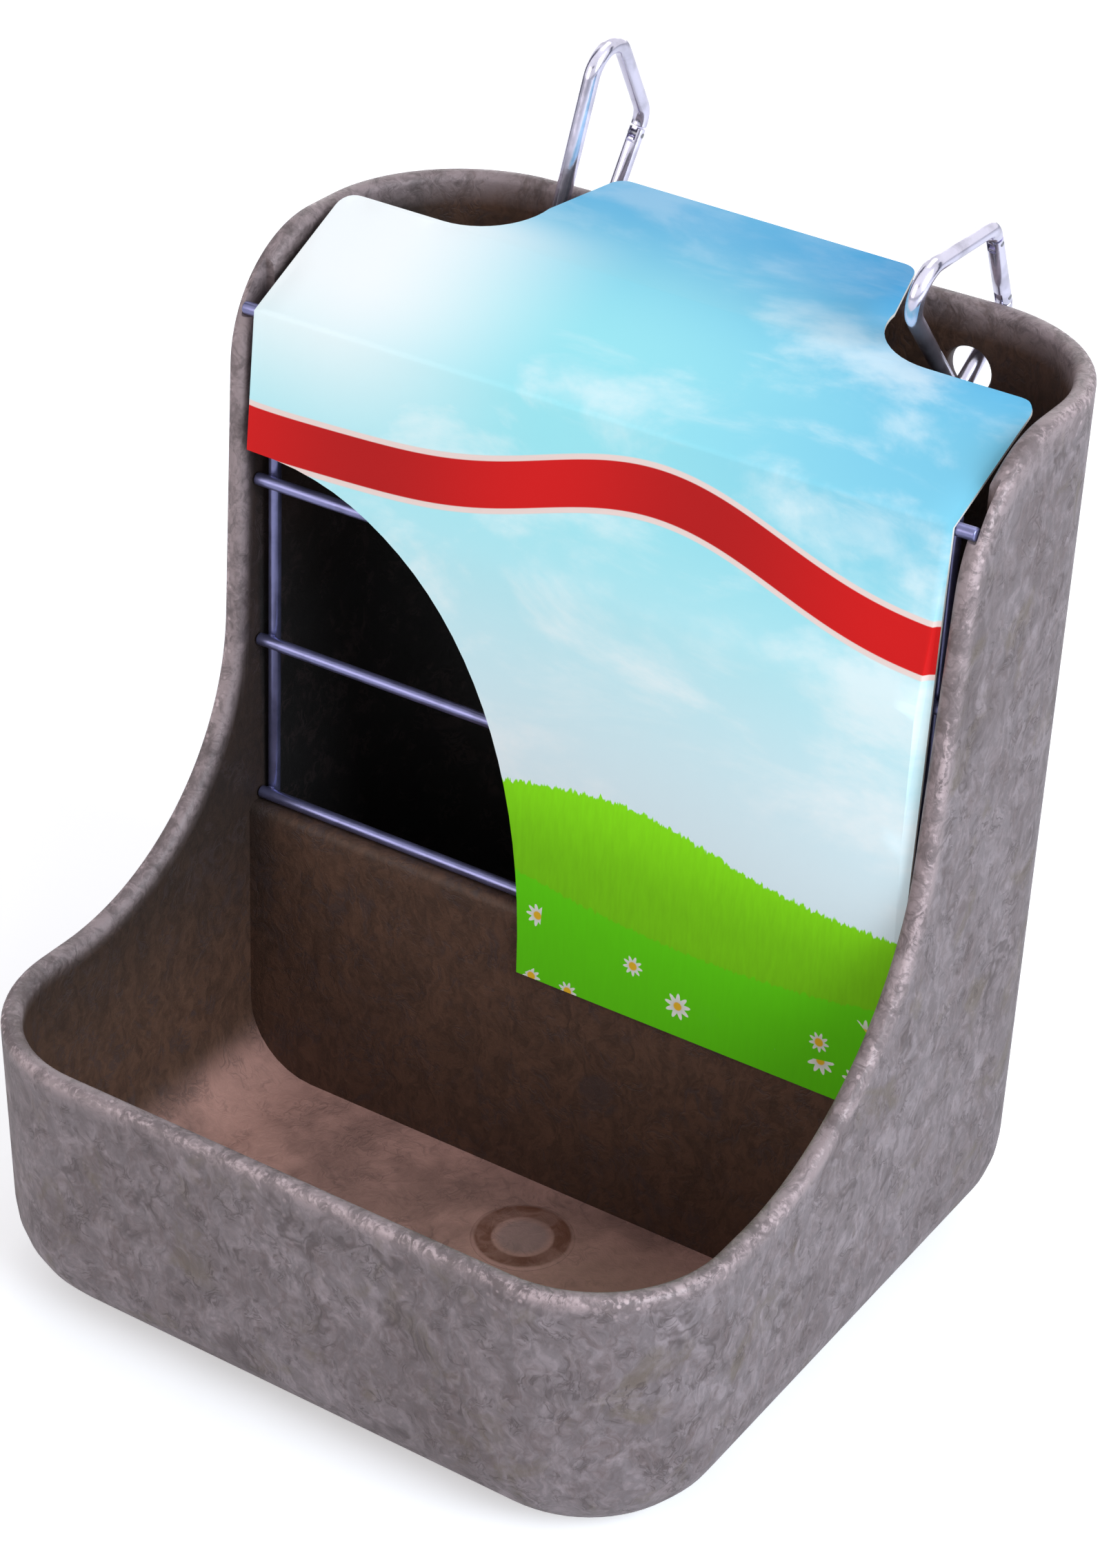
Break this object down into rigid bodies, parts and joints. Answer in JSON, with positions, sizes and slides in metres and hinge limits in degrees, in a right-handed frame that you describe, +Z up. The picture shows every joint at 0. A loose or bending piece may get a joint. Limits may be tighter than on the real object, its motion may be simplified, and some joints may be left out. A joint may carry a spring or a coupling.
{
  "type": "hay feeder box",
  "caption": "Moulded hay feeder with an open food tray, a hay rack behind a lift-out wire guard, a folded display card and snap hooks at the back.",
  "frame": {"origin": "middle of the flat underside of the bin", "axes": "+Z up, -Y towards the food tray, +X to the right as the tray is faced"},
  "size_m": [0.178, 0.1987, 0.2365],
  "materials": {
    "bin": "mottled wood-fibre plastic, grey-brown with fine streaks, satin",
    "guard_wire": "bright plated wire",
    "card": "printed paperboard with a satin coat",
    "hook": "polished plated die casting",
    "pin_steel": "plain steel"
  },
  "bodies": {
    "bin": {"bin_body": "bin"},
    "guard": {"guard_top_wire": "guard_wire", "guard_upper_wire": "guard_wire", "guard_middle_wire": "guard_wire", "guard_lower_wire": "guard_wire", "guard_left_upright": "guard_wire", "guard_right_upright": "guard_wire"},
    "card": {"display_card": "card"},
    "left_hook": {"left_hook_frame": "hook"},
    "left_gate": {"left_hook_gate": "hook", "left_hinge_rivet": "pin_steel", "left_gate_spring": "pin_steel", "left_gate_plunger": "pin_steel", "left_latch_pin": "pin_steel"},
    "right_hook": {"right_hook_frame": "hook"},
    "right_gate": {"right_hook_gate": "hook", "right_hinge_rivet": "pin_steel", "right_gate_spring": "pin_steel", "right_gate_plunger": "pin_steel", "right_latch_pin": "pin_steel"}
  },
  "joints": [
    {"name": "guard_out", "type": "slide", "parent": "bin", "child": "guard", "axis": [0, -0.5736, 0.8192], "range_m": [0, 0.15]},
    {"name": "card_off", "type": "slide", "parent": "guard", "child": "card", "axis": [0, -0.5736, 0.8192], "range_m": [0, 0.15]},
    {"name": "left_hook_swing", "type": "hinge", "parent": "bin", "child": "left_hook", "pos_m": [-0.05, 0.08651, 0.1885], "axis": [0.9903, 0, -0.1392], "range_deg": [0, 52]},
    {"name": "left_gate_open", "type": "hinge", "parent": "left_hook", "child": "left_gate", "pos_m": [-0.04957, 0.10234, 0.19157], "axis": [0.9903, 0, -0.1392], "range_deg": [0, 24], "stiffness_Nm_per_rad": 0.04, "springref_deg": -17.19},
    {"name": "right_hook_swing", "type": "hinge", "parent": "bin", "child": "right_hook", "pos_m": [0.05, 0.08651, 0.1885], "axis": [0.9903, 0, -0.1392], "range_deg": [-54, 0]},
    {"name": "right_gate_open", "type": "hinge", "parent": "right_hook", "child": "right_gate", "pos_m": [0.05204, 0.09331, 0.20298], "axis": [0.9903, 0, -0.1392], "range_deg": [0, 24], "stiffness_Nm_per_rad": 0.04, "springref_deg": -17.19}
  ]
}
